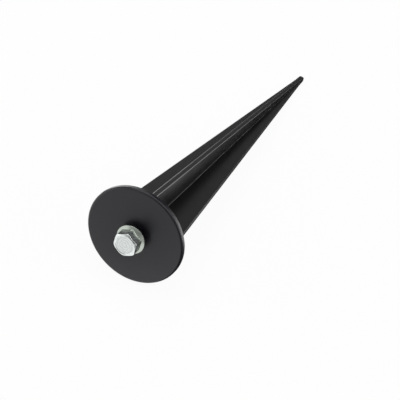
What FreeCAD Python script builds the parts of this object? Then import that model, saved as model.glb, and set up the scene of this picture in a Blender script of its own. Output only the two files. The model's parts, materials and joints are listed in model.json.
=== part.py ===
import FreeCAD, Part
import math
import os
import Sketcher

# Ground spike: a moulded plate with a four-vane stake under it, a brass insert moulded
# into the boss behind the plate, and a hex flange bolt screwed part of the way in.
#
# Each piece is drawn in its own upright frame: +Z points out of the plate's face, and the
# stake goes down. The Placements then lay the spike down as it comes to rest on a floor,
# on the plate's back edge and on the tip of one vane.

# Driving dimensions, in millimetres and degrees
SIZES = {
    "plate_diameter": 60.0,
    "plate_thickness": 3.2,
    "plate_front_round": 1.6,
    "spike_length": 227.0,
    "vane_reach": 21.8,
    "vane_thickness": 3.3,
    "vane_edge_round": 0.4,
    "vane_root_round": 0.7,
    "vane_foot_flare": 0.9,
    "point_length": 7.3,
    "point_reach": 1.6,
    "tip_reach": 1.3,
    "tip_thickness": 2.1,
    "tip_bevel": 0.5,
    "tip_edge_round": 0.15,
    "tip_root_round": 0.06,
    "boss_diameter": 15.0,
    "boss_depth": 20.0,
    "boss_draft": 0.3,
    "boss_bevel": 0.8,
    "core_diameter": 9.0,
    "core_clearance": 2.5,
    "insert_diameter": 11.0,
    "insert_length": 12.0,
    "insert_setback": 0.2,
    "insert_waist_width": 2.4,
    "insert_waist_depth": 0.6,
    "thread_diameter": 8.0,
    "thread_clearance": 0.03,
    "bolt_length": 20.0,
    "bolt_end_bevel": 1.0,
    "bracket_gap": 3.2,
    "flange_diameter": 17.6,
    "flange_rim": 1.2,
    "flange_slope": 27.0,
    "flange_top_diameter": 12.4,
    "head_height": 8.1,
    "across_flats": 13.0,
    "corner_diameter": 14.4,
    "head_turn": 27.5,
    "chamfer_diameter": 12.2,
    "chamfer_slope": 30.0,
    "dish_diameter": 10.8,
    "dish_depth": 0.35,
    "dish_wall": 0.4,
}


class Size:
    """A number together with the spreadsheet formula that gives it."""

    def __init__(self, value, text):
        self.value = value
        self.text = text

    def join(self, other, sign, value):
        return Size(value, "(" + self.text + " " + sign + " " + text_of(other) + ")")

    def __add__(self, other):
        return self.join(other, "+", self.value + value_of(other))

    def __sub__(self, other):
        return self.join(other, "-", self.value - value_of(other))

    def __mul__(self, other):
        return self.join(other, "*", self.value * value_of(other))

    def __truediv__(self, other):
        return self.join(other, "/", self.value / value_of(other))

    def __neg__(self):
        return Size(-self.value, "(-1 * " + self.text + ")")


def value_of(item):
    return item.value if isinstance(item, Size) else float(item)


def text_of(item):
    return item.text if isinstance(item, Size) else str(item)


def size(name):
    """The driving dimension of this name."""
    return Size(SIZES[name], "Sizes." + name)


def sine(angle):
    return Size(math.sin(math.radians(angle.value)), "sin(" + angle.text + " * 1 deg)")


def cosine(angle):
    return Size(math.cos(math.radians(angle.value)), "cos(" + angle.text + " * 1 deg)")


def tangent(angle):
    return Size(math.tan(math.radians(angle.value)), "tan(" + angle.text + " * 1 deg)")


def arc_tangent(ratio):
    """The angle in degrees, as a plain number."""
    return Size(math.degrees(math.atan(ratio.value)), "(atan(" + ratio.text + ") / 1 deg)")


ZERO = Size(0.0, "0")

doc = FreeCAD.newDocument("GroundSpike")
sheet = doc.addObject("Spreadsheet::Sheet", "Sizes")
for row, (name, number) in enumerate(SIZES.items(), start=1):
    sheet.set("A" + str(row), name)
    sheet.set("B" + str(row), str(number))
    sheet.setAlias("B" + str(row), name)
doc.recompute()


# Sketch helpers


def origin_part(body, role):
    for feature in body.Origin.OriginFeatures:
        if feature.Role == role:
            return feature
    raise ValueError("no origin feature " + role)


def new_sketch(body, name, role, height=ZERO):
    """A sketch on one of the body's origin planes, moved along the plane's normal."""
    sketch = body.newObject("Sketcher::SketchObject", name)
    sketch.AttachmentSupport = [(origin_part(body, role), "")]
    sketch.MapMode = "FlatFace"
    if height is not ZERO:
        sketch.setExpression("AttachmentOffset.Base.z", height.text)
    return sketch


def bind(sketch, name, kind, places, amount):
    """Add a driving constraint and tie it to the sheet."""
    index = sketch.addConstraint(Sketcher.Constraint(kind, *places, amount.value))
    sketch.renameConstraint(index, name)
    sketch.setExpression("Constraints." + name, amount.text)


def hold_point(sketch, name, line, across, along):
    """Fix a line's first point at a distance from each axis of the sketch."""
    if across is ZERO:
        sketch.addConstraint(Sketcher.Constraint("PointOnObject", line, 1, -2))
    else:
        bind(sketch, name + "_across", "DistanceX", (-1, 1, line, 1), across)
    if along is ZERO:
        sketch.addConstraint(Sketcher.Constraint("PointOnObject", line, 1, -1))
    else:
        bind(sketch, name + "_along", "DistanceY", (-1, 1, line, 1), along)


def outline_sketch(body, name, corners, role="XZ_Plane", height=ZERO):
    """A closed outline of straight lines, each corner held from the sketch's axes."""
    sketch = new_sketch(body, name, role, height)
    spots = [FreeCAD.Vector(value_of(x), value_of(y), 0) for x, y in corners]
    count = len(spots)
    for index in range(count):
        line = Part.LineSegment(spots[index], spots[(index + 1) % count])
        sketch.addGeometry(line, False)
    for index in range(count):
        after = (index + 1) % count
        sketch.addConstraint(Sketcher.Constraint("Coincident", index, 2, after, 1))
    for index, (x, y) in enumerate(corners):
        hold_point(sketch, "corner" + str(index), index, x, y)
    return sketch


def hexagon_sketch(body, name, across, turn, height):
    """A hexagon with its flats across the sketch's Y axis, then turned about Z."""
    sketch = new_sketch(body, name, "XY_Plane", height)
    sketch.setExpression("AttachmentOffset.Rotation.Angle", turn.text)
    radius = across.value / math.sqrt(3)
    sides = 6
    spots = []
    for index in range(sides):
        angle = math.radians(60 * index - 120)
        spots.append(FreeCAD.Vector(radius * math.cos(angle), radius * math.sin(angle), 0))
    for index in range(sides):
        sketch.addGeometry(Part.LineSegment(spots[index], spots[(index + 1) % sides]), False)
    centre = FreeCAD.Vector(0, 0, 0)
    sketch.addGeometry(Part.Circle(centre, FreeCAD.Vector(0, 0, 1), radius), True)
    rule = Sketcher.Constraint
    sketch.addConstraint(rule("Coincident", sides, 3, -1, 1))
    for index in range(sides):
        sketch.addConstraint(rule("Coincident", index, 2, (index + 1) % sides, 1))
        sketch.addConstraint(rule("PointOnObject", index, 1, sides))
        if index:
            sketch.addConstraint(rule("Equal", 0, index))
    sketch.addConstraint(rule("Horizontal", 0))
    bind(sketch, "across_flats", "DistanceY", (0, 1, 3, 1), across)
    return sketch


def cross_sketch(body, name, height, reach, thickness, edge, web):
    """The stake's section: four vanes with rounded outer edges and rounded roots.

    It is drawn as one closed line, vane after vane, and each vane is five pieces:
    side, edge round, outer strip, edge round, side. A root round joins it to the next.
    """
    sketch = new_sketch(body, name, "XY_Plane", height)
    half = thickness / 2
    far = reach.value
    near = half.value
    small = edge.value
    joint = web.value
    quarter = math.pi / 2

    def spot(turn, out, side):
        angle = turn * quarter
        x = out * math.cos(angle) - side * math.sin(angle)
        y = out * math.sin(angle) + side * math.cos(angle)
        return FreeCAD.Vector(x, y, 0)

    def arc(turn, out, side, radius, start, end):
        circle = Part.Circle(spot(turn, out, side), FreeCAD.Vector(0, 0, 1), radius)
        base = turn * quarter
        return Part.ArcOfCircle(circle, base + start, base + end)

    pieces = 6
    for turn in range(4):
        inner = near + joint
        outer = far - small
        corner = near - small
        low_side = Part.LineSegment(spot(turn, inner, -near), spot(turn, outer, -near))
        strip = Part.LineSegment(spot(turn, far, -corner), spot(turn, far, corner))
        high_side = Part.LineSegment(spot(turn, outer, near), spot(turn, inner, near))
        sketch.addGeometry(low_side, False)
        sketch.addGeometry(arc(turn, outer, -corner, small, -quarter, 0), False)
        sketch.addGeometry(strip, False)
        sketch.addGeometry(arc(turn, outer, corner, small, 0, quarter), False)
        sketch.addGeometry(high_side, False)
        sketch.addGeometry(arc(turn, inner, inner, joint, 2 * quarter, 3 * quarter), False)
    rule = Sketcher.Constraint
    total = 4 * pieces
    for turn in range(4):
        first = turn * pieces
        after = (first + pieces) % total
        sketch.addConstraint(rule("Tangent", first, 2, first + 1, 1))
        sketch.addConstraint(rule("Tangent", first + 1, 2, first + 2, 1))
        sketch.addConstraint(rule("Tangent", first + 2, 2, first + 3, 1))
        sketch.addConstraint(rule("Tangent", first + 3, 2, first + 4, 1))
        sketch.addConstraint(rule("Tangent", first + 4, 2, first + 5, 2))
        sketch.addConstraint(rule("Tangent", first + 5, 1, after, 1))
        level = turn % 2 == 0
        along = "Horizontal" if level else "Vertical"
        across = "Vertical" if level else "Horizontal"
        sketch.addConstraint(rule(along, first))
        sketch.addConstraint(rule(across, first + 2))
        sketch.addConstraint(rule(along, first + 4))
        sketch.addConstraint(rule("Equal", first + 1, first + 3))
        if turn:
            sketch.addConstraint(rule("Equal", 1, first + 1))
            sketch.addConstraint(rule("Equal", 5, first + 5))
        out_way = "DistanceX" if level else "DistanceY"
        side_way = "DistanceY" if level else "DistanceX"
        out_sign = 1 if turn in (0, 1) else -1
        side_sign = 1 if turn in (0, 3) else -1
        label = "vane" + str(turn)
        bind(sketch, label + "_reach", out_way, (-1, 1, first + 2, 1), reach * out_sign)
        bind(sketch, label + "_low", side_way, (-1, 1, first, 1), half * (-side_sign))
        bind(sketch, label + "_high", side_way, (-1, 1, first + 4, 1), half * side_sign)
    bind(sketch, "edge_round", "Radius", (1,), edge)
    bind(sketch, "root_round", "Radius", (5,), web)
    return sketch


# Feature helpers


def revolve(body, name, sketch):
    feature = body.newObject("PartDesign::Revolution", name)
    feature.Profile = sketch
    feature.ReferenceAxis = (sketch, ["V_Axis"])
    feature.Angle = 360
    return feature


def turn_out(body, name, sketch):
    """Cut the revolved sketch away."""
    feature = body.newObject("PartDesign::Groove", name)
    feature.Profile = sketch
    feature.ReferenceAxis = (sketch, ["V_Axis"])
    feature.Angle = 360
    return feature


def pad(body, name, sketch, length):
    feature = body.newObject("PartDesign::Pad", name)
    feature.Profile = sketch
    feature.setExpression("Length", length.text)
    return feature


def round_rim(body, name, base, rim_radius, height, radius):
    """Round the circular edge of this size at this height."""
    doc.recompute()
    names = []
    for index, edge in enumerate(base.Shape.Edges, start=1):
        curve = edge.Curve
        if curve.TypeId != "Part::GeomCircle":
            continue
        same_size = abs(curve.Radius - rim_radius.value) < 0.001
        if same_size and abs(curve.Center.z - height.value) < 0.001:
            names.append("Edge" + str(index))
    feature = body.newObject("PartDesign::Fillet", name)
    feature.Base = (base, names)
    feature.setExpression("Radius", radius.text)
    return feature


# Places that more than one piece takes

plate_radius = size("plate_diameter") / 2
plate_back = -size("plate_thickness")
head_front = size("bracket_gap") + size("head_height")
insert_top = -size("insert_setback")
insert_end = insert_top - size("insert_length")
bolt_end = size("bracket_gap") - size("bolt_length")
insert_radius = size("insert_diameter") / 2
thread_radius = size("thread_diameter") / 2
spike_end = -size("spike_length")


def insert_side(top):
    """The insert's outer side from its top down, with the waist that keys it in."""
    middle = top - size("insert_length") / 2
    half_waist = size("insert_waist_width") / 2
    slope = size("insert_waist_depth")
    waist_radius = insert_radius - slope
    return [
        (insert_radius, top),
        (insert_radius, middle + half_waist + slope),
        (waist_radius, middle + half_waist),
        (waist_radius, middle - half_waist),
        (insert_radius, middle - half_waist - slope),
        (insert_radius, top - size("insert_length")),
    ]


# Spike: one moulding


def make_spike():
    body = doc.addObject("PartDesign::Body", "Spike")
    body.Label = "spike"

    # The plate's front edge is rounded, and its back edge, at the mould's parting, is sharp.
    side = outline_sketch(
        body,
        "PlateProfile",
        [(ZERO, ZERO), (ZERO, plate_back), (plate_radius, plate_back), (plate_radius, ZERO)],
        role="YZ_Plane",
    )
    plate = revolve(body, "Plate", side)
    round_rim(body, "PlateFrontRound", plate, plate_radius, ZERO, size("plate_front_round"))

    # The vanes taper evenly from foot to point, and their thickness with them.
    flare = size("vane_foot_flare")
    foot = plate_back - flare
    point = spike_end + size("point_length")
    tip = spike_end + size("tip_bevel")
    loss = size("vane_thickness") - size("tip_thickness")
    share = size("point_length") / (size("spike_length") - size("plate_thickness"))
    point_thickness = size("tip_thickness") + loss * share
    edge = size("vane_edge_round")
    fine = size("tip_edge_round")
    web = size("vane_root_round")
    fine_web = size("tip_root_round")
    bevel = size("tip_bevel")
    sections = [
        cross_sketch(
            body, "VaneFoot", plate_back, size("vane_reach") + flare,
            size("vane_thickness") + flare * 2, edge, web,
        ),
        cross_sketch(
            body, "VaneStart", foot, size("vane_reach"), size("vane_thickness"), edge, web,
        ),
        cross_sketch(
            body, "VanePoint", point, size("point_reach"), point_thickness, fine, fine_web,
        ),
        cross_sketch(
            body, "VaneTip", tip, size("tip_reach"), size("tip_thickness"), fine, fine_web,
        ),
        cross_sketch(
            body, "VaneEnd", spike_end, size("tip_reach") - bevel,
            size("tip_thickness") - bevel * 2, fine, fine_web,
        ),
    ]
    stake = body.newObject("PartDesign::AdditiveLoft", "Stake")
    stake.Profile = sections[0]
    stake.Sections = sections[1:]
    stake.Ruled = True

    # Boss behind the plate, round the insert
    boss_radius = size("boss_diameter") / 2
    boss_end = plate_back - size("boss_depth")
    boss_small = boss_radius - size("boss_draft")
    boss_bevel = size("boss_bevel")
    boss = outline_sketch(
        body,
        "BossProfile",
        [
            (ZERO, plate_back),
            (boss_radius, plate_back),
            (boss_small, boss_end + boss_bevel),
            (boss_small - boss_bevel, boss_end),
            (ZERO, boss_end),
        ],
    )
    revolve(body, "Boss", boss)

    # Seat of the insert, and the open core past the bolt's end
    core_radius = size("core_diameter") / 2
    core_end = bolt_end - size("core_clearance")
    seat = outline_sketch(
        body,
        "SeatProfile",
        [(ZERO, ZERO), (insert_radius, ZERO)]
        + insert_side(insert_top)
        + [(core_radius, insert_end), (core_radius, core_end), (ZERO, core_end)],
    )
    doc.recompute()
    body.Tip = turn_out(body, "InsertSeat", seat)
    return body


# Threaded insert: turned brass, moulded in


def make_insert():
    body = doc.addObject("PartDesign::Body", "ThreadedInsert")
    body.Label = "threaded_insert"
    bore_radius = thread_radius + size("thread_clearance")
    length = -size("insert_length")
    profile = outline_sketch(
        body,
        "InsertProfile",
        [(bore_radius, ZERO)] + insert_side(ZERO) + [(bore_radius, length)],
    )
    revolve(body, "Insert", profile)
    return body


# Flange bolt: one forged piece, drawn from the underside of its flange


def make_bolt():
    body = doc.addObject("PartDesign::Body", "FlangeBolt")
    body.Label = "flange_bolt"
    rim = size("flange_rim")
    top = size("head_height")
    hexagon = hexagon_sketch(
        body, "HexProfile", size("across_flats"), size("head_turn"), rim
    )
    pad(body, "HexHead", hexagon, top - rim)
    doc.recompute()

    # The blank is round, so the hex corners are short of sharp, and its front is chamfered.
    start = size("chamfer_diameter") / 2
    corner = size("corner_diameter") / 2
    wide = size("across_flats")
    drop = (corner - start) * tangent(size("chamfer_slope"))
    turned_head = outline_sketch(
        body,
        "HeadTurnedProfile",
        [(start, top), (wide, top), (wide, ZERO), (corner, ZERO), (corner, top - drop)],
    )
    turn_out(body, "HeadTurned", turned_head)
    doc.recompute()
    dish_radius = size("dish_diameter") / 2
    dish_floor = top - size("dish_depth")
    dish = outline_sketch(
        body,
        "DishProfile",
        [
            (ZERO, top),
            (dish_radius, top),
            (dish_radius - size("dish_wall"), dish_floor),
            (ZERO, dish_floor),
        ],
    )
    turn_out(body, "HeadDish", dish)
    doc.recompute()

    # Flange with its sloping top, which runs up into the hex, and the shank
    flange_radius = size("flange_diameter") / 2
    top_radius = size("flange_top_diameter") / 2
    cone_top = rim + (flange_radius - top_radius) * tangent(size("flange_slope"))
    end = -size("bolt_length")
    bevel = size("bolt_end_bevel")
    turned = outline_sketch(
        body,
        "TurnedProfile",
        [
            (ZERO, end),
            (thread_radius - bevel, end),
            (thread_radius, end + bevel),
            (thread_radius, ZERO),
            (flange_radius, ZERO),
            (flange_radius, rim),
            (top_radius, cone_top),
            (ZERO, cone_top),
        ],
    )
    body.Tip = revolve(body, "ShankAndFlange", turned)
    return body


# Placements: how far the axis leans when the spike lies on a floor


def lie_down(body, height):
    """Lay a piece down, its own origin at this height above the plate's face."""
    body.Placement.Rotation = FreeCAD.Rotation(FreeCAD.Vector(0, 1, 0), -80)
    body.setExpression("Placement.Rotation.Angle", (lean - 90).text)
    body.setExpression("Placement.Base.x", (face_x - height * cosine(lean)).text)
    body.setExpression("Placement.Base.z", (face_z + height * sine(lean)).text)


run = size("spike_length") - size("tip_bevel") - size("plate_thickness")
fall = plate_radius - size("tip_reach")
lean = arc_tangent(fall / run)
face_z = size("plate_thickness") * sine(lean) + plate_radius * cosine(lean)
tip_x = size("spike_length") * cosine(lean) + (size("tip_reach") - size("tip_bevel")) * sine(lean)
head_x = head_front * cosine(lean) + size("chamfer_diameter") / 2 * sine(lean)
face_x = (head_x - tip_x) / 2

spike = make_spike()
insert = make_insert()
bolt = make_bolt()
lie_down(spike, ZERO)
lie_down(insert, insert_top)
lie_down(bolt, size("bracket_gap"))
doc.recompute()

# Checks, then one file a piece
for item in doc.Objects:
    for fault in ("Invalid", "Error"):
        if fault in item.State:
            raise RuntimeError(item.Name + " is " + fault)
for body in (spike, insert, bolt):
    if body.Shape.isNull() or not body.Shape.isValid():
        raise RuntimeError(body.Label + " has no valid shape")
    if len(body.Shape.Solids) != 1:
        raise RuntimeError(body.Label + " isn't one solid")

os.makedirs("parts", exist_ok=True)
for body in (spike, insert, bolt):
    body.Shape.exportStep("parts/" + body.Label + ".step")
    box = body.Shape.BoundBox
    print(body.Label, "volume %.1f mm3" % body.Shape.Volume, "box", box)
print("lean %.3f deg, face at x %.3f z %.3f" % (lean.value, face_x.value, face_z.value))
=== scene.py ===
import json
import logging
import math
from dataclasses import dataclass, replace
from enum import Enum
from typing import Callable, Iterable

import bmesh
import bpy
from mathutils import Euler, Matrix, Vector
from mathutils.kdtree import KDTree


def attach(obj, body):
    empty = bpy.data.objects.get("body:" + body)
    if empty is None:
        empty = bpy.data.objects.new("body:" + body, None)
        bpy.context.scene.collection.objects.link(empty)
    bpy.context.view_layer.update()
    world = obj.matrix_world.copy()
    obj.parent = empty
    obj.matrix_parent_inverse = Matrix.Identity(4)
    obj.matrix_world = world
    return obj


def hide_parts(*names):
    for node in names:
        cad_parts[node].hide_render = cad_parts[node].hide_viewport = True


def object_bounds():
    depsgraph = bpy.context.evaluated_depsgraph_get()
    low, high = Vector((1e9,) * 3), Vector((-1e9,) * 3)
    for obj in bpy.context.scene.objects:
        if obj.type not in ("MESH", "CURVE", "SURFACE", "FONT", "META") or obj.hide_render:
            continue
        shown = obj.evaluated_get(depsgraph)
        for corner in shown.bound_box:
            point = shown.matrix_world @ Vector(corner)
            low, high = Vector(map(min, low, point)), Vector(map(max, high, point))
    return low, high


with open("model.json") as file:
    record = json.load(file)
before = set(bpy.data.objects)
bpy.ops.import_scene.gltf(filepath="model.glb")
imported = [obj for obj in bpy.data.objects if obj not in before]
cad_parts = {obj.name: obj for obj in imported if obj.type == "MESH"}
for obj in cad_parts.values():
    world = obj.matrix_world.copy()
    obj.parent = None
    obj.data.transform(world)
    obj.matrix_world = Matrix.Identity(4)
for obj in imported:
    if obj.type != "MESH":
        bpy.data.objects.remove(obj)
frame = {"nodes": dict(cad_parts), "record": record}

# Dressing of a ground spike: the moulded plate and stake, and the flange bolt in its middle.
# Every piece is modelled upright, with +Z out of the plate's face, and then laid down
# where the frame's mounts say.

LOG = logging.getLogger("ground_spike")
MM = 0.001
CAD_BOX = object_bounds()

# A first ring gets its real shape at once, so its radius doesn't matter
STARTER_RADIUS = 1.0 * MM
# An edge that turns by more degrees than this stays sharp
SMOOTH_ANGLE = 32.0
# How far the larger faces lead the shading: 50 is neutral, 100 is the most
NORMAL_WEIGHT = 100

Profile = list[tuple[float, float]]
Color = tuple[float, float, float]
Socket = bpy.types.NodeSocket
Feed = Socket | float
Tone = Socket | Color
Value = Socket | float | Color | Vector | Euler


class Slot(Enum):
    """The names of the record's material slots for the plastic and the zinc, which no piece here
    reads.
    """

    PLASTIC = "black_plastic"
    ZINC = "zinc_plated_steel"


class Cut(Enum):
    """What a boolean does with its second solid."""

    JOIN = "UNION"
    REMOVE = "DIFFERENCE"
    KEEP = "INTERSECT"


class Sum(Enum):
    """The kinds of arithmetic that the finishes and the room need."""

    ADD = "ADD"
    SUBTRACT = "SUBTRACT"
    MULTIPLY = "MULTIPLY"
    POWER = "POWER"
    SINE = "SINE"
    LARGER = "MAXIMUM"


class Ramp(Enum):
    """How a mask rises between its two ends."""

    STRAIGHT = "LINEAR"
    SOFT = "SMOOTHSTEP"


class Kind(Enum):
    """What a node group's socket carries."""

    NUMBER = "NodeSocketFloat"
    VECTOR = "NodeSocketVector"


# Modelling steps that several pieces share


def only(piece: bpy.types.Object) -> None:
    """Make one object the only selected one, and active.

    Args:
        piece: the object.
    """
    bpy.ops.object.select_all(action="DESELECT")
    piece.select_set(True)
    bpy.context.view_layer.objects.active = piece


def edit(piece: bpy.types.Object, steps: Callable[[], None]) -> None:
    """Run steps in edit mode with nothing selected at the start.

    Args:
        piece: the mesh object to edit.
        steps: what is done there.
    """
    only(piece)
    bpy.ops.object.mode_set(mode="EDIT")
    bpy.ops.mesh.select_all(action="DESELECT")
    steps()
    bpy.ops.object.mode_set(mode="OBJECT")


def clean_up(piece: bpy.types.Object, gap: float = 0.0002 * MM) -> None:
    """Merge doubled points and turn every face outwards.

    Args:
        piece: the mesh object, a closed solid.
        gap: points that are nearer than this become one.
    """

    def steps() -> None:
        """Work on the whole mesh, and turn it round where its volume comes out negative."""
        bpy.ops.mesh.select_all(action="SELECT")
        bpy.ops.mesh.remove_doubles(threshold=gap)
        bpy.ops.mesh.normals_make_consistent(inside=False)
        if bmesh.from_edit_mesh(piece.data).calc_volume(signed=True) < 0:
            bpy.ops.mesh.flip_normals()

    edit(piece, steps)


def arc(centre: tuple[float, float], radius: float, start: float, end: float, steps: int) -> Profile:
    """Points on an arc, both ends included.

    Args:
        centre: the arc's centre as radius and height.
        radius: its radius.
        start: first angle in degrees, counted from outwards towards up.
        end: last angle in degrees.
        steps: number of chords.

    Returns:
        The points as radius and height.
    """
    turns = [math.radians(start + (end - start) * step / steps) for step in range(steps + 1)]
    return [(centre[0] + radius * math.cos(t), centre[1] + radius * math.sin(t)) for t in turns]


def lathe(name: str, profile: Profile, sides: int) -> bpy.types.Object:
    """Turn a solid about Z: a disc is extruded ring by ring and resized at each ring.

    Args:
        name: the new object's name.
        profile: radius and height of each ring, from one end to the other.
        sides: number of sides round the axis.

    Returns:
        The closed solid.
    """
    radius, height = profile[0]
    bpy.ops.object.select_all(action="DESELECT")
    bpy.ops.mesh.primitive_circle_add(
        vertices=sides, radius=radius, fill_type="NGON", location=(0, 0, height)
    )
    piece = bpy.context.object
    piece.name = name
    bpy.ops.object.transform_apply(location=True, rotation=True, scale=True)
    bpy.ops.object.mode_set(mode="EDIT")
    bpy.ops.mesh.select_all(action="SELECT")
    for wide, high in profile[1:]:
        bpy.ops.mesh.extrude_region_move(
            TRANSFORM_OT_translate={"value": (0, 0, high - height)}
        )
        share = wide / radius
        bpy.ops.transform.resize(value=(share, share, 1), center_override=(0, 0, high))
        radius, height = wide, high
    bpy.ops.object.mode_set(mode="OBJECT")
    clean_up(piece)
    return piece


def loft(name: str, rings: list[list[Vector]]) -> bpy.types.Object:
    """Model a closed solid: a first ring is extruded again and again, and each copy is reshaped.

    Args:
        name: the new object's name.
        rings: the points of each ring, in the same order round, from one end to the other.

    Returns:
        The closed solid, its first and last rings filled.
    """
    ring = rings[0]
    bpy.ops.object.select_all(action="DESELECT")
    bpy.ops.mesh.primitive_circle_add(vertices=len(ring), radius=STARTER_RADIUS, fill_type="NGON")
    piece = bpy.context.object
    piece.name = name
    for vertex, place in zip(piece.data.vertices, ring):
        vertex.co = place
    bpy.ops.object.mode_set(mode="EDIT")
    bpy.ops.mesh.select_all(action="SELECT")
    for target in rings[1:]:
        bpy.ops.mesh.extrude_region_move(TRANSFORM_OT_translate={"value": (0, 0, 0)})
        mesh = bmesh.from_edit_mesh(piece.data)
        tree = KDTree(len(ring))
        for index, place in enumerate(ring):
            tree.insert(place, index)
        tree.balance()
        for vertex in [one for one in mesh.verts if one.select]:
            vertex.co = target[tree.find(vertex.co)[1]]
        bmesh.update_edit_mesh(piece.data)
        ring = target
    bpy.ops.object.mode_set(mode="OBJECT")
    clean_up(piece)
    return piece


def combine(piece: bpy.types.Object, tool: bpy.types.Object, cut: Cut) -> None:
    """Join, remove or keep a second solid, which is used up.

    Args:
        piece: the solid that stays.
        tool: the solid that is used up.
        cut: what is done with it.
    """
    only(piece)
    step = piece.modifiers.new(cut.name.title(), "BOOLEAN")
    step.operation = cut.value
    step.solver = "EXACT"
    step.object = tool
    bpy.ops.object.modifier_apply(modifier=step.name)
    bpy.data.objects.remove(tool, do_unlink=True)


def smooth(piece: bpy.types.Object) -> None:
    """Shade smooth except over sharp edges, with the normals set by the larger faces.

    Args:
        piece: the mesh object.
    """
    only(piece)
    bpy.ops.object.shade_smooth_by_angle(angle=math.radians(SMOOTH_ANGLE))
    step = piece.modifiers.new("Weighted", "WEIGHTED_NORMAL")
    step.keep_sharp = True
    step.weight = NORMAL_WEIGHT
    bpy.ops.object.modifier_apply(modifier=step.name)


def away_from(azimuth: float, elevation: float) -> Vector:
    """A direction out of the object.

    Args:
        azimuth: degrees round the object, from +X towards +Y.
        elevation: degrees above the floor.

    Returns:
        The direction, of length 1.
    """
    a = math.radians(azimuth)
    e = math.radians(elevation)
    return Vector((math.cos(e) * math.cos(a), math.cos(e) * math.sin(a), math.sin(e)))


@dataclass(frozen=True)
class Lie:
    """How the upright pieces are laid down: the plate's middle and its outward normal."""

    middle: Vector
    normal: Vector

    @classmethod
    def from_frame(cls, plate_thickness: float) -> "Lie":
        """Read it from the record's mounts.

        Args:
            plate_thickness: from the plate's back, where the stake's mount is, to its face.

        Returns:
            The place of the plate's face.
        """
        mounts = {mount["name"]: mount for mount in frame["record"]["mounts"]}
        normal = Vector(mounts["plate_face"]["axis"]).normalized()
        back = Vector(mounts["stake"]["pos_m"])
        return cls(back + normal * plate_thickness, normal)

    def matrix(self, height: float = 0.0) -> Matrix:
        """The move from upright to lying.

        Args:
            height: how far the piece's origin is off the plate's face.

        Returns:
            The move as a matrix.
        """
        across = Vector((0, 1, 0))
        up = across.cross(self.normal)
        turn = Matrix((up, across, self.normal)).transposed().to_4x4()
        return Matrix.Translation(self.middle + self.normal * height) @ turn

    def lay(self, piece: bpy.types.Object, height: float = 0.0) -> None:
        """Lay a finished piece down and put its place in its mesh.

        Args:
            piece: the upright piece.
            height: how far its origin is off the plate's face.
        """
        only(piece)
        piece.matrix_world = self.matrix(height)
        bpy.ops.object.transform_apply(location=True, rotation=True, scale=True)


# Wiring of the finishes and the room


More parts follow.
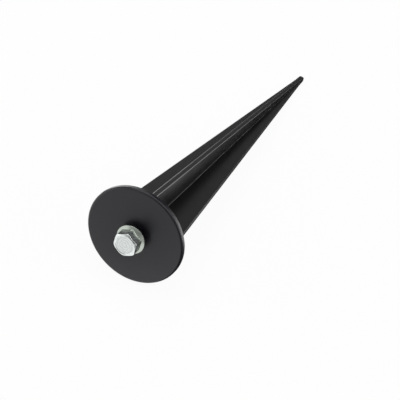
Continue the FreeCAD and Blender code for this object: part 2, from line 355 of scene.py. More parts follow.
@dataclass(frozen=True)
class Wiring:
    """A node tree, with the few kinds of node that the finishes and the room are made of."""

    tree: bpy.types.NodeTree

    def node(self, kind: str) -> bpy.types.Node:
        """Add a node by its type's name."""
        return self.tree.nodes.new(kind)

    def feed(self, source: Value, target: Socket) -> None:
        """Link a socket, or set a plain value.

        Args:
            source: the socket or the value.
            target: the input that takes it.
        """
        if isinstance(source, Socket):
            self.tree.links.new(source, target)
        else:
            target.default_value = source

    def place(self) -> Socket:
        """Places on the piece, which move with it."""
        return self.node("ShaderNodeTexCoord").outputs["Object"]

    def arithmetic(self, how: Sum, first: Feed, second: Feed = 0.0) -> Socket:
        """Take one step of arithmetic.

        Args:
            how: which step.
            first: the first number.
            second: the second number, where the step has one.

        Returns:
            The result.
        """
        node = self.node("ShaderNodeMath")
        node.operation = how.value
        self.feed(first, node.inputs[0])
        self.feed(second, node.inputs[1])
        return node.outputs["Value"]

    def along(self, place: Socket, direction: Vector) -> Socket:
        """How far a place or a direction reaches along another direction.

        Args:
            place: the place or direction.
            direction: the fixed direction.

        Returns:
            The reach as a number.
        """
        node = self.node("ShaderNodeVectorMath")
        node.operation = "DOT_PRODUCT"
        self.feed(place, node.inputs[0])
        self.feed(direction, node.inputs[1])
        return node.outputs["Value"]

    def rise(self, value: Socket, start: float, end: float, ramp: Ramp = Ramp.STRAIGHT) -> Socket:
        """A mask that is 0 below one value and 1 above another.

        Args:
            value: the number that is looked at.
            start: where the mask leaves 0.
            end: where it reaches 1.
            ramp: how it rises between them.

        Returns:
            The mask.
        """
        node = self.node("ShaderNodeMapRange")
        node.interpolation_type = ramp.value
        self.feed(value, node.inputs["Value"])
        self.feed(start, node.inputs["From Min"])
        self.feed(end, node.inputs["From Max"])
        return node.outputs["Result"]

    def blend(self, share: Feed, first: Feed, second: Feed) -> Socket:
        """Go from one number to another.

        Args:
            share: 0 for the first number, 1 for the second.
            first: the first number.
            second: the second number.

        Returns:
            The number between them.
        """
        node = self.node("ShaderNodeMix")
        node.data_type = "FLOAT"
        self.feed(share, node.inputs["Factor"])
        self.feed(first, node.inputs["A"])
        self.feed(second, node.inputs["B"])
        return node.outputs["Result"]

    def blend_colors(self, share: Socket, first: Tone, second: Tone) -> Socket:
        """Go from one colour to another.

        Args:
            share: 0 for the first colour, 1 for the second.
            first: the first colour.
            second: the second colour.

        Returns:
            The colour between them.
        """
        node = self.node("ShaderNodeMix")
        node.data_type = "RGBA"
        self.feed(share, node.inputs["Factor"])
        for tone, name in ((first, "A"), (second, "B")):
            target = next(one for one in node.inputs if one.name == name and one.type == "RGBA")
            self.feed(tone if isinstance(tone, Socket) else (*tone, 1), target)
        return next(one for one in node.outputs if one.type == "RGBA")

    def noise(self, place: Socket, scale: Feed, detail: float) -> Socket:
        """A cloudy pattern.

        Args:
            place: the coordinates that it is laid out on.
            scale: how fine it is, in waves per metre.
            detail: how many finer layers it has.

        Returns:
            The pattern, from 0 to 1.
        """
        node = self.node("ShaderNodeTexNoise")
        self.feed(place, node.inputs["Vector"])
        self.feed(scale, node.inputs["Scale"])
        self.feed(detail, node.inputs["Detail"])
        return node.outputs["Fac"]

    def group(self, tree: bpy.types.ShaderNodeTree, values: dict[str, Value]) -> bpy.types.Node:
        """Place a node group.

        Args:
            tree: the group.
            values: what each of its inputs gets.

        Returns:
            The group's node.
        """
        node = self.node("ShaderNodeGroup")
        node.node_tree = tree
        for name, value in values.items():
            self.feed(value, node.inputs[name])
        return node

    def relief(self, height: Socket, depth: float, strength: float, target: Socket) -> None:
        """Press a fine pattern into the surface.

        Args:
            height: the pattern.
            depth: how deep it is, in metres.
            strength: how much of it shows.
            target: the shader's input for the normal.
        """
        node = self.node("ShaderNodeBump")
        self.feed(height, node.inputs["Height"])
        self.feed(depth, node.inputs["Distance"])
        self.feed(strength, node.inputs["Strength"])
        self.feed(node.outputs["Normal"], target)


def new_group(
    name: str, takes: dict[str, Kind], gives: dict[str, Kind]
) -> tuple[Wiring, bpy.types.Node, bpy.types.Node]:
    """Start a node group.

    Args:
        name: the group's name.
        takes: its inputs by name.
        gives: its outputs by name.

    Returns:
        Its wiring, and the nodes that hold its inputs and its outputs.
    """
    tree = bpy.data.node_groups.new(name, "ShaderNodeTree")
    for side, sockets in (("INPUT", takes), ("OUTPUT", gives)):
        for label, kind in sockets.items():
            tree.interface.new_socket(label, in_out=side, socket_type=kind.value)
    wires = Wiring(tree)
    return wires, wires.node("NodeGroupInput"), wires.node("NodeGroupOutput")


def new_material(name: str) -> tuple[bpy.types.Material, Wiring, bpy.types.Node]:
    """Start a material.

    Args:
        name: the material's name.

    Returns:
        The material, its wiring and its Principled shader.
    """
    material = bpy.data.materials.new(name)
    material.use_nodes = True
    tree = material.node_tree
    return material, Wiring(tree), tree.nodes["Principled BSDF"]


def set_finish(piece: bpy.types.Object, material: bpy.types.Material) -> None:
    """Give the whole piece one material."""
    piece.data.materials.clear()
    piece.data.materials.append(material)


# Effects that several finishes share


@dataclass(frozen=True)
class UnevenGloss:
    """A slow change of gloss over a surface, which every finish has.

    Most of the noise lies between low and high.
    """

    detail: float = 3.0
    low: float = 0.3
    high: float = 0.7

    def group(self) -> bpy.types.ShaderNodeTree:
        """The node group: a mean roughness goes in, and it comes out a little uneven."""
        wires, source, result = new_group(
            "uneven_gloss",
            {"Place": Kind.VECTOR, "Scale": Kind.NUMBER, "Roughness": Kind.NUMBER,
             "Unevenness": Kind.NUMBER},
            {"Roughness": Kind.NUMBER, "Cloud": Kind.NUMBER},
        )
        cloud = wires.noise(source.outputs["Place"], source.outputs["Scale"], self.detail)
        mask = wires.rise(cloud, self.low, self.high)
        swing = wires.blend(mask, -1.0, 1.0)
        ripple = wires.arithmetic(Sum.MULTIPLY, swing, source.outputs["Unevenness"])
        rough = wires.arithmetic(Sum.ADD, source.outputs["Roughness"], ripple)
        wires.feed(rough, result.inputs["Roughness"])
        wires.feed(cloud, result.inputs["Cloud"])
        return wires.tree


@dataclass(frozen=True)
class FineGrain:
    """Fine grain in a surface, which the moulding and the bolt have."""

    detail: float = 2.0

    def group(self) -> bpy.types.ShaderNodeTree:
        """The node group: places go in, the grain's height comes out."""
        wires, source, result = new_group(
            "fine_grain",
            {"Place": Kind.VECTOR, "Scale": Kind.NUMBER},
            {"Height": Kind.NUMBER},
        )
        grain = wires.noise(source.outputs["Place"], source.outputs["Scale"], self.detail)
        wires.feed(grain, result.inputs["Height"])
        return wires.tree


@dataclass(frozen=True)
class Effects:
    """The node groups that more than one finish places."""

    gloss: bpy.types.ShaderNodeTree
    grain: bpy.types.ShaderNodeTree

    @classmethod
    def build(cls) -> "Effects":
        """Build each of them once."""
        return cls(UnevenGloss().group(), FineGrain().group())


# Finishes


@dataclass(frozen=True)
class BlackPlastic:
    """Satin black injection moulding: the plate is duller than the stake, and a little bluer."""

    effects: Effects
    middle: Vector
    normal: Vector
    plate_thickness: float
    stake_color: Color = (0.004, 0.0036, 0.004)
    plate_color: Color = (0.004, 0.0036, 0.008)
    stake_roughness: float = 0.32
    plate_roughness: float = 0.40
    border: float = 0.2 * MM
    unevenness: float = 0.03
    cloud_scale: float = 120.0
    grain_scale: float = 4000.0
    grain_depth: float = 0.004 * MM
    grain_strength: float = 0.5

    def material(self) -> bpy.types.Material:
        """The node material."""
        material, wires, shader = new_material("satin_black_plastic")
        place = wires.place()
        plate = self.plate_mask(wires, place)
        color = wires.blend_colors(plate, self.stake_color, self.plate_color)
        wires.feed(color, shader.inputs["Base Color"])
        gloss = wires.group(self.effects.gloss, {
            "Place": place,
            "Scale": self.cloud_scale,
            "Roughness": wires.blend(plate, self.stake_roughness, self.plate_roughness),
            "Unevenness": self.unevenness,
        })
        wires.feed(gloss.outputs["Roughness"], shader.inputs["Roughness"])
        grain = wires.group(self.effects.grain, {"Place": place, "Scale": self.grain_scale})
        wires.relief(
            grain.outputs["Height"], self.grain_depth, self.grain_strength, shader.inputs["Normal"]
        )
        return material

    def plate_mask(self, wires: Wiring, place: Socket) -> Socket:
        """A mask that is 1 on the plate and 0 behind it.

        Args:
            wires: the material's wiring.
            place: places on the piece.

        Returns:
            The mask.
        """
        reach = wires.along(place, self.normal)
        height = wires.arithmetic(Sum.SUBTRACT, reach, self.middle.dot(self.normal))
        return wires.rise(height, -self.plate_thickness - self.border, -self.plate_thickness)


@dataclass(frozen=True)
class ZincPlate:
    """Bright zinc plate on steel: the struck top is the glossiest part. The flange's colour is
    darker, partly for the plating's greener tint and partly as painted shade for the dimmer
    reflection there.

    Heights are from the plate's face: top is the head's top, and flange_top is where the hex
    starts over the flange.
    """

    effects: Effects
    middle: Vector
    normal: Vector
    top: float
    head_color: Color = (0.74, 0.78, 0.765)
    # Darker, greener flange colour: partly the plating's tint, partly painted shade for the dimmer
    # reflection in the flange's middle
    flange_tint_and_painted_shade: Color = (0.44, 0.48, 0.43)
    flange_top: float = 5.9 * MM
    face_depth: float = 0.9 * MM
    border: float = 0.2 * MM
    top_roughness: float = 0.20
    hex_roughness: float = 0.33
    flange_roughness: float = 0.24
    unevenness: float = 0.04
    cloud_scale: float = 500.0
    ring_spacing: float = 1.7 * MM
    ring_contrast: float = 0.08
    ring_shift: float = 13.0
    streak_scale: float = 1400.0
    streak_squeeze: float = 0.12
    streak_depth: float = 0.006 * MM
    streak_strength: float = 0.6

    def material(self) -> bpy.types.Material:
        """The node material."""
        material, wires, shader = new_material("bright_zinc_plate")
        shader.inputs["Metallic"].default_value = 1.0
        place = wires.place()
        upright = self.upright(wires, place)
        spot = wires.node("ShaderNodeSeparateXYZ")
        wires.feed(upright, spot.inputs["Vector"])
        height = spot.outputs["Z"]
        face_start = self.top - self.face_depth
        # Below this height the flange takes its own roughness and its darker colour, which is partly
        # painted shade
        head = wires.rise(height, self.flange_top, self.flange_top + self.border)
        face = wires.rise(height, face_start, face_start + self.border)
        rough = wires.blend(head, self.flange_roughness, self.hex_roughness)
        gloss = wires.group(self.effects.gloss, {
            "Place": place,
            "Scale": self.cloud_scale,
            "Roughness": wires.blend(face, rough, self.top_roughness),
            "Unevenness": self.unevenness,
        })
        wires.feed(gloss.outputs["Roughness"], shader.inputs["Roughness"])
        marks = self.turning_marks(wires, spot, gloss.outputs["Cloud"])
        wires.feed(self.tone(wires, head, marks), shader.inputs["Base Color"])
        self.streaks(wires, upright, shader.inputs["Normal"])
        return material

    def upright(self, wires: Wiring, place: Socket) -> Socket:
        """Places as they are on the upright bolt, with +Z up its axis from the plate's face.

        Args:
            wires: the material's wiring.
            place: places on the bolt as it lies.

        Returns:
            The upright places.
        """
        node = wires.node("ShaderNodeMapping")
        node.vector_type = "TEXTURE"
        wires.feed(place, node.inputs["Vector"])
        wires.feed(self.middle, node.inputs["Location"])
        wires.feed(self.normal.to_track_quat("Z", "Y").to_euler(), node.inputs["Rotation"])
        return node.outputs["Vector"]

    def turning_marks(self, wires: Wiring, spot: bpy.types.Node, cloud: Socket) -> Socket:
        """Uneven rings round the bolt's axis.

        Args:
            wires: the material's wiring.
            spot: the upright place as X, Y and Z.
            cloud: a slow noise that breaks the rings up.

        Returns:
            A mask from 0 to 1.
        """
        across = wires.arithmetic(Sum.MULTIPLY, spot.outputs["X"], spot.outputs["X"])
        along = wires.arithmetic(Sum.MULTIPLY, spot.outputs["Y"], spot.outputs["Y"])
        radius = wires.arithmetic(Sum.POWER, wires.arithmetic(Sum.ADD, across, along), 0.5)
        turn = wires.arithmetic(Sum.MULTIPLY, radius, 2 * math.pi / self.ring_spacing)
        shift = wires.arithmetic(Sum.MULTIPLY, cloud, self.ring_shift)
        wave = wires.arithmetic(Sum.SINE, wires.arithmetic(Sum.ADD, turn, shift))
        return wires.arithmetic(Sum.ADD, wires.arithmetic(Sum.MULTIPLY, wave, 0.5), 0.5)

    def tone(self, wires: Wiring, head: Socket, marks: Socket) -> Socket:
        """The plating's colour, with the rings on the head and the flange's darker colour, partly
        painted shade.

        Args:
            wires: the material's wiring.
            head: a mask that is 1 on the hex head and 0 below it.
            marks: the rings' mask.

        Returns:
            The colour.
        """
        dark = tuple(part * (1 - self.ring_contrast) for part in self.head_color)
        light = tuple(part * (1 + self.ring_contrast) for part in self.head_color)
        # Below the hex the flange gets its darker colour, partly painted shade
        return wires.blend_colors(head, self.flange_tint_and_painted_shade, wires.blend_colors(marks, dark, light))

    def streaks(self, wires: Wiring, upright: Socket, target: Socket) -> None:
        """Grain that is drawn out along the bolt.

        Args:
            wires: the material's wiring.
            upright: places on the upright bolt.
            target: the shader's input for the normal.
        """
        stretch = wires.node("ShaderNodeMapping")
        wires.feed(upright, stretch.inputs["Vector"])
        wires.feed((1, 1, self.streak_squeeze), stretch.inputs["Scale"])
        grain = wires.group(
            self.effects.grain, {"Place": stretch.outputs["Vector"], "Scale": self.streak_scale}
        )
        wires.relief(grain.outputs["Height"], self.streak_depth, self.streak_strength, target)


@dataclass(frozen=True)
class TurnedBrass:
    """Turned brass."""

    effects: Effects
    color: Color = (0.62, 0.45, 0.17)
    roughness: float = 0.30
    unevenness: float = 0.05
    cloud_scale: float = 900.0

    def material(self) -> bpy.types.Material:
        """The node material."""
        material, wires, shader = new_material("turned_brass")
        shader.inputs["Base Color"].default_value = (*self.color, 1)
        shader.inputs["Metallic"].default_value = 1.0
        gloss = wires.group(self.effects.gloss, {
            "Place": wires.place(),
            "Scale": self.cloud_scale,
            "Roughness": self.roughness,
            "Unevenness": self.unevenness,
        })
        wires.feed(gloss.outputs["Roughness"], shader.inputs["Roughness"])
        return material


# The spike


@dataclass(frozen=True)
class Section:
    """One cross-section of the stake: four vanes with rounded edges and roots.

    The side vanes lie in the mould's parting plane, and their edges are crisper.
    """

    height: float
    reach: float
    half: float
    edge: float
    side_edge: float
    root: float
    steps: int = 5

    def outline(self) -> list[Vector]:
        """The closed outline, vane after vane, anticlockwise."""
        inner = self.half + self.root
        points = []
        for quarter in range(4):
            edge = self.side_edge if quarter % 2 else self.edge
            outer = self.reach - edge
            side = self.half - edge
            vane = arc((outer, -side), edge, -90, 0, self.steps)
            vane += arc((outer, side), edge, 0, 90, self.steps)
            vane += arc((inner, inner), self.root, 270, 180, self.steps)
            turn = Matrix.Rotation(math.pi / 2 * quarter, 3, "Z")
            points += [turn @ Vector((x, y, self.height)) for x, y in vane]
        return points


@dataclass(frozen=True)
class SpikeMoulding:
    """The black moulding: plate, stake and boss in one piece, measured from the plate's face.

    The tip is rounded through tip_turn degrees. The stake and the boss start as far as sink
    inside the plate, so that they join it.
    """

    lie: Lie
    plate_radius: float = 30.0 * MM
    plate_thickness: float = 3.2 * MM
    front_round: float = 1.4 * MM
    back_round: float = 0.15 * MM
    length: float = 227.0 * MM
    vane_reach: float = 21.9 * MM
    vane_half: float = 1.65 * MM
    vane_edge: float = 0.55 * MM
    side_edge: float = 0.15 * MM
    vane_root: float = 0.35 * MM
    foot_flare: float = 0.9 * MM
    point_length: float = 7.3 * MM
    point_reach: float = 1.95 * MM
    tip_reach: float = 1.6 * MM
    tip_half: float = 1.2 * MM
    tip_round: float = 0.5 * MM
    tip_turn: float = 80.0
    tip_edge: float = 0.3 * MM
    tip_side_edge: float = 0.15 * MM
    tip_root: float = 0.06 * MM
    sink: float = 0.5 * MM
    boss_radius: float = 7.5 * MM
    boss_draft: float = 0.3 * MM
    boss_depth: float = 20.0 * MM
    boss_round: float = 0.8 * MM
    seat_radius: float = 5.5 * MM
    seat_depth: float = 12.2 * MM
    core_radius: float = 4.5 * MM
    core_depth: float = 19.3 * MM
    rim_sides: int = 256
    boss_sides: int = 96
    front_steps: int = 12
    back_steps: int = 3
    round_steps: int = 5

    def plate(self) -> bpy.types.Object:
        """The round plate, its front edge rounded and its back edge broken."""
        back_centre = (self.plate_radius - self.back_round, self.back_round - self.plate_thickness)
        front_centre = (self.plate_radius - self.front_round, -self.front_round)
        profile = arc(back_centre, self.back_round, -90, 0, self.back_steps)
        profile += arc(front_centre, self.front_round, 0, 90, self.front_steps)
        return lathe("plate", profile, self.rim_sides)

    def vane_section(self, height: float, reach: float, half: float) -> Section:
        """A section with the vanes' own edges and roots."""
        return Section(height, reach, half, self.vane_edge, self.side_edge, self.vane_root)

    def tip_section(self, height: float, reach: float, half: float) -> Section:
        """A section with the tip's finer edges and roots."""
        return Section(height, reach, half, self.tip_edge, self.tip_side_edge, self.tip_root)

    def foot(self) -> list[Section]:
        """The sections from inside the plate down through the flare behind it."""
        back = -self.plate_thickness
        flare = self.foot_flare
        found = [self.vane_section(back + self.sink, self.vane_reach + flare, self.vane_half + flare)]
        for step in range(self.round_steps + 1):
            turn = math.radians(90 * step / self.round_steps)
            out = flare * (1 - math.sin(turn))
            down = flare * (1 - math.cos(turn))
            found.append(self.vane_section(back - down, self.vane_reach + out, self.vane_half + out))
        return found

    def point(self) -> list[Section]:
        """The sections of the steeper last stretch, down to the rounded tip."""
        share = self.point_length / (self.length - self.plate_thickness)
        half = self.tip_half + (self.vane_half - self.tip_half) * share
        found = [self.tip_section(self.point_length - self.length, self.point_reach, half)]
        for step in range(self.round_steps + 1):
            turn = math.radians(self.tip_turn * step / self.round_steps)
            inward = self.tip_round * (1 - math.cos(turn))
            height = -self.length + self.tip_round - self.tip_round * math.sin(turn)
            found.append(self.tip_section(height, self.tip_reach - inward, self.tip_half - inward))
        found[-1] = replace(found[-1], height=-self.length)
        return found

    def stake(self) -> bpy.types.Object:
        """The four-vane stake, lofted through its sections."""
        return loft("stake", [section.outline() for section in self.foot() + self.point()])

    def boss(self) -> bpy.types.Object:
        """The boss behind the plate, with draft and a rounded end."""
        small = self.boss_radius - self.boss_draft
        end = -self.plate_thickness - self.boss_depth
        centre = (small - self.boss_round, end + self.boss_round)
        profile = [(self.boss_radius, self.sink - self.plate_thickness)]
        profile += arc(centre, self.boss_round, 0, -90, self.round_steps)
        return lathe("boss", profile, self.boss_sides)

    def seat(self) -> bpy.types.Object:
        """The hole in the plate's middle: the insert's seat and the open core under it."""
        profile = [
            (self.core_radius, -self.core_depth),
            (self.core_radius, -self.seat_depth),
            (self.seat_radius, -self.seat_depth),
            (self.seat_radius, self.sink),
        ]
        return lathe("seat", profile, self.boss_sides)

    def build(self) -> bpy.types.Object:
        """Model the whole moulding and lay it down.

        Returns:
            The finished piece.
        """
        piece = self.plate()
        combine(piece, self.stake(), Cut.JOIN)
        combine(piece, self.boss(), Cut.JOIN)
        combine(piece, self.seat(), Cut.REMOVE)
        clean_up(piece)
        piece.name = "spike_moulding"
        piece.data.name = piece.name
        smooth(piece)
        self.lie.lay(piece)
        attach(piece, "root")
        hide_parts("spike")
        return piece

    def dress(self, piece: bpy.types.Object, effects: Effects) -> None:
        """Give the moulding its finish.

        Args:
            piece: the finished moulding.
            effects: the shared node groups.
        """
        finish = BlackPlastic(effects, self.lie.middle, self.lie.normal, self.plate_thickness)
        set_finish(piece, finish.material())


# The bolt


@dataclass(frozen=True)
class FlangeBolt:
    """The hex flange bolt, modelled from the underside of its flange.

    root_flat, crest_start and crest_flat are shares of the pitch, and hex_turn and the slopes
    are in degrees. Half of the spare turns lie below the shank's end, until it is cut to length.
    """

    lie: Lie
    gap: float = 3.2 * MM
    length: float = 20.0 * MM
    thread_radius: float = 4.0 * MM
    root_radius: float = 3.3 * MM
    pitch: float = 1.25 * MM
    root_flat: float = 0.25
    crest_start: float = 0.5625
    crest_flat: float = 0.125
    spare_turns: int = 4
    seam_gap: float = 0.002 * MM
    cut_gap: float = 0.001 * MM
    end_bevel: float = 1.0 * MM
    blank_excess: float = 0.5 * MM
    blank_clearance: float = 0.02 * MM
    neck_radius: float = 3.6 * MM
    neck_length: float = 1.4 * MM
    neck_round: float = 0.4 * MM
    flange_radius: float = 8.8 * MM
    flange_rim: float = 1.2 * MM
    flange_slope: float = 27.0
    rim_round: float = 0.35 * MM
    flange_fillet: float = 0.4 * MM
    hex_sides: int = 6
    hex_half: float = 6.7 * MM
    hex_turn: float = 27.5
    hex_corner: float = 2.6 * MM
    head_height: float = 8.1 * MM
    head_round: float = 0.45 * MM
    chamfer_radius: float = 6.15 * MM
    chamfer_slope: float = 34.0
    chamfer_round: float = 0.2 * MM
    dish_radius: float = 5.95 * MM
    dish_depth: float = 0.3 * MM
    dish_wall: float = 0.35 * MM
    dish_lip: float = 0.1 * MM
    dish_break: float = 0.04 * MM
    sides: int = 144
    thread_sides: int = 48
    corner_steps: int = 8
    flat_steps: int = 12
    round_steps: int = 5
    fillet_steps: int = 4

    def thread_line(self) -> bpy.types.Object:
        """One pitch of the thread's outline as an open line of edges, below the shank's end."""
        low = -self.length - self.spare_turns / 2 * self.pitch
        crest_end = self.crest_start + self.crest_flat
        corners = [(self.root_radius, 0.0), (self.root_radius, self.root_flat),
                   (self.thread_radius, self.crest_start), (self.thread_radius, crest_end),
                   (self.root_radius, 1.0)]
        bpy.ops.object.select_all(action="DESELECT")
        bpy.ops.mesh.primitive_circle_add(
            vertices=len(corners), radius=STARTER_RADIUS, fill_type="NOTHING"
        )
        piece = bpy.context.object
        piece.name = "thread"
        for vertex, (radius, share) in zip(piece.data.vertices, corners):
            vertex.co = (radius, 0, low + share * self.pitch)

        def open_ring() -> None:
            """Take out the edge that closes the profile."""
            mesh = bmesh.from_edit_mesh(piece.data)
            mesh.edges.ensure_lookup_table()
            ends = {0, len(corners) - 1}
            for one in mesh.edges:
                one.select = {vertex.index for vertex in one.verts} == ends
            bmesh.update_edit_mesh(piece.data)
            bpy.ops.mesh.delete(type="EDGE")

        edit(piece, open_ring)
        return piece

    def blank(self) -> bpy.types.Object:
        """The bar that the thread is cut from, its end bevelled."""
        end_radius = self.thread_radius - self.end_bevel
        bar_radius = self.thread_radius + self.blank_clearance
        profile = [
            (end_radius, -self.length - self.blank_excess),
            (end_radius, -self.length),
            (bar_radius, -self.length + self.end_bevel),
            (bar_radius, 0),
        ]
        return lathe("blank", profile, self.sides)

    def thread(self) -> bpy.types.Object:
        """The threaded shank: one pitch of the thread is screwed round and cut to length."""
        piece = self.thread_line()
        only(piece)
        step = piece.modifiers.new("Screw", "SCREW")
        step.screw_offset = self.pitch
        step.iterations = math.ceil(self.length / self.pitch) + self.spare_turns
        step.steps = self.thread_sides
        step.render_steps = self.thread_sides
        step.use_normal_calculate = True
        bpy.ops.object.modifier_apply(modifier=step.name)

        def trim() -> None:
            """Cut both ends flat and close them."""
            bpy.ops.mesh.select_all(action="SELECT")
            bpy.ops.mesh.remove_doubles(threshold=self.seam_gap)
            for height, upper in ((-self.length, False), (-self.neck_length / 2, True)):
                bpy.ops.mesh.select_all(action="SELECT")
                bpy.ops.mesh.bisect(
                    plane_co=(0, 0, height), plane_no=(0, 0, 1), use_fill=True,
                    clear_inner=not upper, clear_outer=upper, threshold=self.cut_gap,
                )
            bpy.ops.mesh.select_all(action="SELECT")
            bpy.ops.mesh.normals_make_consistent(inside=False)

        edit(piece, trim)
        combine(piece, self.blank(), Cut.KEEP)
        return piece

    def spokes(self) -> list[tuple[float, float]]:
        """The hex outline as angle and radius, flats and rounded corners in turn."""
        half_turn = math.pi / self.hex_sides
        inner = (self.hex_half - self.hex_corner) / math.cos(half_turn)
        half_flat = inner * math.sin(half_turn)
        corner = Vector((inner * math.cos(half_turn), half_flat, 0))
        points = []
        for side in range(self.hex_sides):
            turn = Matrix.Rotation(math.radians(self.hex_turn) + 2 * half_turn * side, 3, "Z")
            for step in range(self.flat_steps):
                across = half_flat * (2 * step / self.flat_steps - 1)
                points.append(turn @ Vector((self.hex_half, across, 0)))
            for step in range(self.corner_steps):
                angle = 2 * half_turn * step / self.corner_steps
                reach = Vector((math.cos(angle), math.sin(angle), 0)) * self.hex_corner
                points.append(turn @ (corner + reach))
        return [(math.atan2(point.y, point.x), point.length) for point in points]

    def cone(self, radius: float) -> float:
        """How high the flange's sloping top is.

        Args:
            radius: how far from the bolt's axis.

        Returns:
            The height there.
        """
        slope = math.radians(self.flange_slope)
        edge = self.flange_radius - self.rim_round * (1 - math.sin(slope))
        crown = self.flange_rim - self.rim_round * (1 - math.cos(slope))
        return crown + (edge - radius) * math.tan(slope)

    def flange_profile(self) -> Profile:
        """The profile below the hex: the neck, the flange's underside and its rim."""
        neck = self.neck_radius
        small = self.neck_round
        profile = [(neck - small, -self.neck_length), (neck, small - self.neck_length)]
        profile += arc((neck + small, -small), small, 180, 90, self.round_steps)
        small = self.rim_round
        rim = self.flange_radius - small
        profile += arc((rim, small), small, -90, 0, self.round_steps)
        crown = (rim, self.flange_rim - small)
        profile += arc(crown, small, 0, 90 - self.flange_slope, self.round_steps)
        return profile

    def wall(self, side: float) -> Profile:
        """The hex wall at one spoke: fillet on the flange, upright wall, rounded edge.

        Args:
            side: the hex outline's radius there.

        Returns:
            The profile up to the chamfer.
        """
        slope = math.radians(self.flange_slope)
        small = self.flange_fillet
        foot = (side + small, self.cone(side + small) + small / math.cos(slope))
        profile = arc(foot, small, 270 - self.flange_slope, 180, self.fillet_steps)
        tilt = math.radians(self.chamfer_slope)
        small = self.head_round
        line = self.head_height - (side - small - self.chamfer_radius) * math.tan(tilt)
        edge = (side - small, line - small / math.cos(tilt))
        return profile + arc(edge, small, 0, 90 - self.chamfer_slope, self.round_steps)

    def top_profile(self) -> Profile:
        """The profile over the hex: the chamfer's inner edge and the shallow dish in the top."""
        top = self.head_height
        small = self.chamfer_round
        tilt = math.radians(self.chamfer_slope)
        centre = (self.chamfer_radius - small * math.tan(tilt / 2), top - small)
        profile = arc(centre, small, 90 - self.chamfer_slope, 90, self.fillet_steps)
        floor = top - self.dish_depth
        inner = self.dish_radius - self.dish_wall
        profile += [
            (self.dish_radius + self.dish_lip, top),
            (self.dish_radius, top - self.dish_break),
            (inner, floor + self.dish_break),
            (inner - self.dish_lip, floor),
            (inner / 2, floor),
        ]
        return profile

    def head(self) -> bpy.types.Object:
        """Neck, flange and hex head in one: a turned profile whose wall follows the hex."""
        spokes = self.spokes()
        low = self.flange_profile()
        high = self.top_profile()
        walls = [low + self.wall(side) + high for _, side in spokes]
        rings = []
        for level in range(len(walls[0])):
            ring = []
            for (turn, _), wall in zip(spokes, walls):
                radius, height = wall[level]
                ring.append(Vector((radius * math.cos(turn), radius * math.sin(turn), height)))
            rings.append(ring)
        return loft("head", rings)

    def build(self) -> bpy.types.Object:
        """Model the whole bolt and lay it down in the plate.

        Returns:
            The finished piece.
        """
        piece = self.head()
        combine(piece, self.thread(), Cut.JOIN)
        clean_up(piece)
        piece.name = "flange_bolt_detail"
        piece.data.name = piece.name
        smooth(piece)
        self.lie.lay(piece, self.gap)
        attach(piece, "root")
        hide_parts("flange_bolt")
        return piece

    def dress(self, piece: bpy.types.Object, effects: Effects) -> None:
        """Give the bolt its finish.

        Args:
            piece: the finished bolt.
            effects: the shared node groups.
        """
        top = self.gap + self.head_height
        finish = ZincPlate(effects, self.lie.middle, self.lie.normal, top)
        set_finish(piece, finish.material())


# The insert


@dataclass(frozen=True)
class ThreadedInsert:
    """The brass insert in the boss, whose CAD node has the right shape and only gets its finish."""

    node: str = "threaded_insert"

    def build(self) -> bpy.types.Object:
        """Find the CAD node's object."""
        return frame["nodes"][self.node]

    def dress(self, piece: bpy.types.Object, effects: Effects) -> None:
        """Give the insert its finish."""
        set_finish(piece, TurnedBrass(effects).material())


# The room


@dataclass(frozen=True)
class Softbox:
    """One large soft lamp: where it stands from the object, how large and how strong.

    Its angles are in degrees, its sizes in metres and its power in watts.
    """

    name: str
    azimuth: float
    elevation: float
    distance: float
    width: float
    tall: float
    power: float

    def build(self, centre: Vector) -> None:
        """Put the lamp there, facing the object.

        Args:
            centre: the object's middle.
        """
        away = away_from(self.azimuth, self.elevation)
        data = bpy.data.lights.new(self.name, "AREA")
        data.shape = "RECTANGLE"
        data.size = self.width
        data.size_y = self.tall
        data.energy = self.power
        lamp = bpy.data.objects.new(self.name, data)
        lamp.location = centre + away * self.distance
        lamp.rotation_euler = (-away).to_track_quat("-Z", "Y").to_euler()
        bpy.context.scene.collection.objects.link(lamp)


@dataclass(frozen=True)
class Panel:
    """One part of the room: its direction, how wide it is and how light.

    It has its whole level within full degrees of that direction, and is gone at fade degrees.
    """

    toward: tuple[float, float, float]
    full: float
    fade: float
    level: float


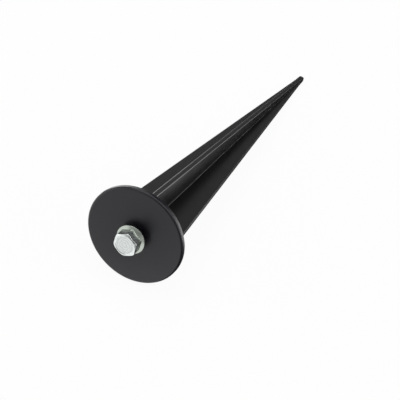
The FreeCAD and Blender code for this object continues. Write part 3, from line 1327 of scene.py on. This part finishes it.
@dataclass(frozen=True)
class Room:
    """How light the walls and the floor are, by direction from the object.

    Each panel covers what stands before it in the list, and dim is the level outside them all.
    """

    dim: float = 0.06
    panels: tuple[Panel, ...] = (
        # The pale floor before the plate, and the part of it that the plate's face mirrors
        Panel((-0.608, 0.529, -0.591), 72.0, 82.0, 1.22),
        Panel((-0.842, 0.258, -0.470), 18.0, 36.0, 0.86),
        # The walls on the bolt's side, which its head and flange mirror
        Panel((-0.900, 0.120, 0.420), 16.0, 34.0, 0.45),
        Panel((-0.920, -0.380, 0.060), 12.0, 26.0, 0.65),
        Panel((-0.720, -0.420, 0.550), 17.0, 30.0, 0.1),
        # Light overhead and to the near side, for the bright lines along rounded edges
        Panel((0.150, 0.400, 0.904), 16.0, 30.0, 1.6),
        Panel((0.188, -0.942, 0.281), 15.0, 28.0, 2.0),
        Panel((0.150, -0.450, 0.880), 14.0, 26.0, 2.4),
        # Beyond the tip, a dull wall over low lights, for the soft shading along the vanes
        Panel((0.795, 0.430, 0.427), 12.0, 22.0, 0.40),
        Panel((0.780, 0.610, -0.020), 12.0, 20.0, 3.2),
        Panel((0.830, -0.550, -0.080), 12.0, 20.0, 4.0),
        Panel((0.955, -0.290, -0.060), 5.0, 9.0, 4.0),
    )

    def group(self) -> bpy.types.ShaderNodeTree:
        """The node group: a direction goes in, the level comes out."""
        wires, source, result = new_group(
            "room_level", {"Direction": Kind.VECTOR}, {"Level": Kind.NUMBER}
        )
        unit = wires.node("ShaderNodeVectorMath")
        unit.operation = "NORMALIZE"
        wires.feed(source.outputs["Direction"], unit.inputs[0])
        level: Feed = self.dim
        for panel in self.panels:
            nearness = wires.along(unit.outputs["Vector"], Vector(panel.toward).normalized())
            fade = math.cos(math.radians(panel.fade))
            full = math.cos(math.radians(panel.full))
            shade = wires.rise(nearness, fade, full, Ramp.SOFT)
            level = wires.blend(shade, level, panel.level)
        wires.feed(level, result.inputs["Level"])
        return wires.tree


@dataclass(frozen=True)
class Studio:
    """Pale floor, a room that is light on one side, and a soft lamp overhead."""

    floor_size: float = 6.0
    floor_color: Color = (0.9, 0.9, 0.9)
    floor_roughness: float = 0.9
    floor_glow: float = 0.94
    lamps: tuple[Softbox, ...] = (
        Softbox("top_box", 90.0, 75.0, 1.5, 1.6, 1.2, 5.0),
    )

    def floor(self, plate: Vector, room: bpy.types.ShaderNodeTree) -> None:
        """Lay the floor: plain and pale, and as light as the room says where a piece mirrors it.

        Args:
            plate: the plate's middle, from which the room's directions are measured.
            room: the room's node group.
        """
        bpy.ops.object.select_all(action="DESELECT")
        bpy.ops.mesh.primitive_plane_add(size=self.floor_size)
        plane = bpy.context.object
        plane.name = "studio_floor"
        set_finish(plane, self.floor_material(plate, room))

    def floor_material(self, plate: Vector, room: bpy.types.ShaderNodeTree) -> bpy.types.Material:
        """The floor's material.

        It glows for the camera and for mirrored rays alone. Where the camera sees it, only the
        small rest that doesn't glow takes a shadow.

        Args:
            plate: the plate's middle, from which the room's directions are measured.
            room: the room's node group.

        Returns:
            The node material.
        """
        material, wires, shader = new_material("pale_floor")
        material.cycles.emission_sampling = "NONE"
        shader.inputs["Base Color"].default_value = (*self.floor_color, 1)
        shader.inputs["Roughness"].default_value = self.floor_roughness
        away = wires.node("ShaderNodeVectorMath")
        away.operation = "SUBTRACT"
        wires.feed(wires.place(), away.inputs[0])
        wires.feed(plate, away.inputs[1])
        level = wires.group(room, {"Direction": away.outputs["Vector"]}).outputs["Level"]
        path = wires.node("ShaderNodeLightPath").outputs
        mirrored = wires.arithmetic(
            Sum.LARGER, path["Is Glossy Ray"], path["Is Transmission Ray"]
        )
        seen = wires.arithmetic(Sum.LARGER, path["Is Camera Ray"], mirrored)
        glow = wires.node("ShaderNodeEmission")
        wires.feed(wires.blend(mirrored, 1.0, level), glow.inputs["Strength"])
        mix = wires.node("ShaderNodeMixShader")
        wires.feed(wires.arithmetic(Sum.MULTIPLY, seen, self.floor_glow), mix.inputs["Fac"])
        wires.feed(shader.outputs["BSDF"], mix.inputs[1])
        wires.feed(glow.outputs["Emission"], mix.inputs[2])
        wires.feed(mix.outputs["Shader"], wires.tree.nodes["Material Output"].inputs["Surface"])
        return material

    def world(self, room: bpy.types.ShaderNodeTree) -> None:
        """Set the room's own light, and plain white where the camera sees past the floor.

        Args:
            room: the room's node group.
        """
        world = bpy.data.worlds.new("studio")
        bpy.context.scene.world = world
        world.use_nodes = True
        wires = Wiring(world.node_tree)
        light = wires.tree.nodes["Background"]
        light.inputs["Color"].default_value = (1, 1, 1, 1)
        place = wires.node("ShaderNodeTexCoord").outputs["Generated"]
        camera_ray = wires.node("ShaderNodeLightPath").outputs["Is Camera Ray"]
        level = wires.group(room, {"Direction": place}).outputs["Level"]
        wires.feed(wires.blend(camera_ray, level, 1.0), light.inputs["Strength"])

    def build(self, centre: Vector, plate: Vector) -> None:
        """Set up the room round the object.

        Args:
            centre: the object's middle, at which the lamps point.
            plate: the plate's middle, from which the mirrored floor is measured.
        """
        room = Room().group()
        self.floor(plate, room)
        self.world(room)
        for lamp in self.lamps:
            lamp.build(centre)
        bpy.context.scene.view_settings.view_transform = "Standard"


@dataclass(frozen=True)
class ViewPoint:
    """The photograph's camera, placed from the plate's middle.

    The image is 400 by 400 pixels. The field of view and the three turns are in degrees.
    """

    field: float = 12.0
    distance: float = 1056.1 * MM
    beside: float = 36.55 * MM
    above: float = 20.08 * MM
    azimuth: float = 200.36
    elevation: float = 41.68
    roll: float = 12.6
    nearest: float = 0.05
    farthest: float = 20.0

    def build(self, middle: Vector) -> None:
        """Create the camera and make it the scene's own.

        Args:
            middle: the plate's middle.
        """
        data = bpy.data.cameras.new("view_point")
        data.angle = math.radians(self.field)
        data.clip_start = self.nearest
        data.clip_end = self.farthest
        camera = bpy.data.objects.new("view_point", data)
        back = away_from(self.azimuth, self.elevation)
        level = (-back).to_track_quat("-Z", "Y").to_matrix()
        turn = level @ Matrix.Rotation(math.radians(self.roll), 3, "Z")
        aside = turn.col[0] * self.beside + turn.col[1] * self.above
        place = middle + aside + back * self.distance
        camera.matrix_world = Matrix.Translation(place) @ turn.to_4x4()
        bpy.context.scene.collection.objects.link(camera)
        bpy.context.scene.camera = camera


def main() -> None:
    """Build and dress the pieces, then the room and the camera."""
    effects = Effects.build()
    lie = Lie.from_frame(SpikeMoulding.plate_thickness)
    for maker in (SpikeMoulding(lie), FlangeBolt(lie), ThreadedInsert()):
        piece = maker.build()
        maker.dress(piece, effects)
        LOG.info("finished %s", piece.name)
    low, high = (Vector(corner) for corner in CAD_BOX)
    Studio().build((low + high) / 2, lie.middle)
    ViewPoint().build(lie.middle)


if __name__ == "__main__":
    logging.basicConfig(level=logging.INFO)
    main()
